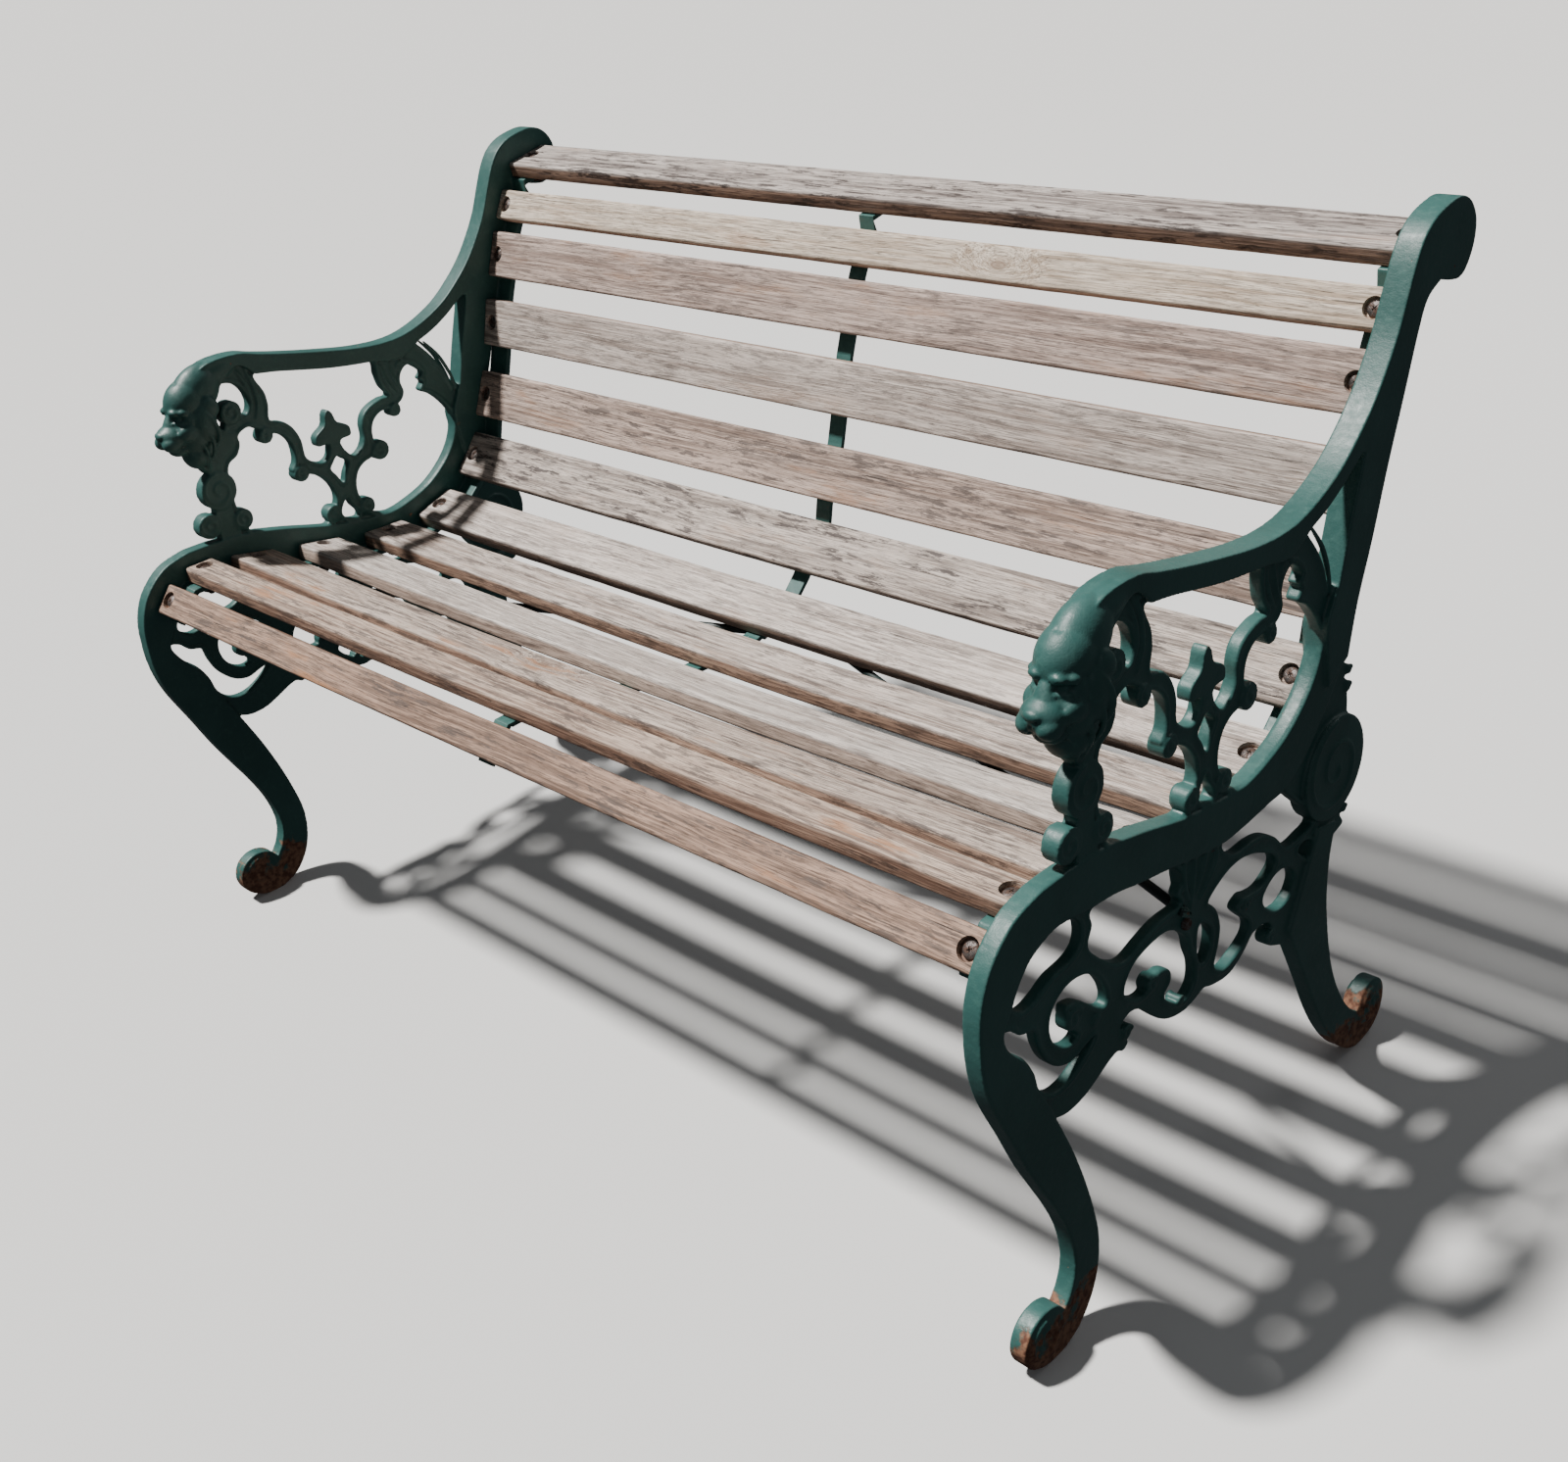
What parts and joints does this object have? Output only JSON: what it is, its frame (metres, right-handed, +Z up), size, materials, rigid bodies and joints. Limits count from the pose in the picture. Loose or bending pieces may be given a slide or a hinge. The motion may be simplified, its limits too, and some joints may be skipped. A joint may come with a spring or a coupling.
{
  "type": "garden bench",
  "caption": "Park bench with scrolled cast-iron ends, lion-head arms and a curved seat and back of weathered wooden slats.",
  "frame": {"origin": "on the ground under the middle of the bench's bounding box", "axes": "+X along the bench, +Y to the back, +Z up"},
  "size_m": [1.264, 0.69, 0.804],
  "materials": {
    "painted_cast_iron": "dark teal-green gloss paint, chipped and rusted on the front edges and feet",
    "painted_steel": "dark teal-green paint over mild steel",
    "weathered_wood": "oiled hardwood weathered to grey-brown, open grain",
    "fastener_steel": "dull steel with surface rust"
  },
  "bodies": {
    "root": {"back_slat_1_lowest": "weathered_wood", "back_slat_2": "weathered_wood", "back_slat_3": "weathered_wood", "back_slat_4": "weathered_wood", "back_slat_5": "weathered_wood", "bolt_back_slat_1_lowest_left": "fastener_steel", "bolt_back_slat_1_lowest_right": "fastener_steel", "bolt_back_slat_2_left": "fastener_steel", "bolt_back_slat_2_right": "fastener_steel", "bolt_back_slat_3_left": "fastener_steel", "bolt_back_slat_3_right": "fastener_steel", "bolt_back_slat_4_left": "fastener_steel", "bolt_back_slat_4_right": "fastener_steel", "bolt_back_slat_5_left": "fastener_steel", "bolt_back_slat_5_right": "fastener_steel", "bolt_seat_slat_1_front_left": "fastener_steel", "bolt_seat_slat_1_front_right": "fastener_steel", "bolt_seat_slat_2_left": "fastener_steel", "bolt_seat_slat_2_right": "fastener_steel", "bolt_seat_slat_3_left": "fastener_steel", "bolt_seat_slat_3_right": "fastener_steel", "bolt_seat_slat_4_left": "fastener_steel", "bolt_seat_slat_4_right": "fastener_steel", "bolt_seat_slat_5_left": "fastener_steel", "bolt_seat_slat_5_right": "fastener_steel", "bolt_seat_slat_6_left": "fastener_steel", "bolt_seat_slat_6_right": "fastener_steel", "bolt_top_slat_left": "fastener_steel", "bolt_top_slat_right": "fastener_steel", "centre_strap": "painted_steel", "end_casting_left": "painted_cast_iron", "end_casting_right": "painted_cast_iron", "seat_slat_1_front": "weathered_wood", "seat_slat_2": "weathered_wood", "seat_slat_3": "weathered_wood", "seat_slat_4": "weathered_wood", "seat_slat_5": "weathered_wood", "seat_slat_6": "weathered_wood", "strap_screw_back_slat_1_lowest": "fastener_steel", "strap_screw_back_slat_2": "fastener_steel", "strap_screw_back_slat_3": "fastener_steel", "strap_screw_back_slat_4": "fastener_steel", "strap_screw_back_slat_5": "fastener_steel", "strap_screw_seat_slat_1_front": "fastener_steel", "strap_screw_seat_slat_2": "fastener_steel", "strap_screw_seat_slat_3": "fastener_steel", "strap_screw_seat_slat_4": "fastener_steel", "strap_screw_seat_slat_5": "fastener_steel", "strap_screw_seat_slat_6": "fastener_steel", "strap_screw_top_slat": "fastener_steel", "tie_rod_bolt_left": "fastener_steel", "tie_rod_bolt_right": "fastener_steel", "tie_rod_left": "painted_steel", "tie_rod_right": "painted_steel", "tie_rod_screw_left": "fastener_steel", "tie_rod_screw_right": "fastener_steel", "top_slat": "weathered_wood"}
  },
  "joints": []
}
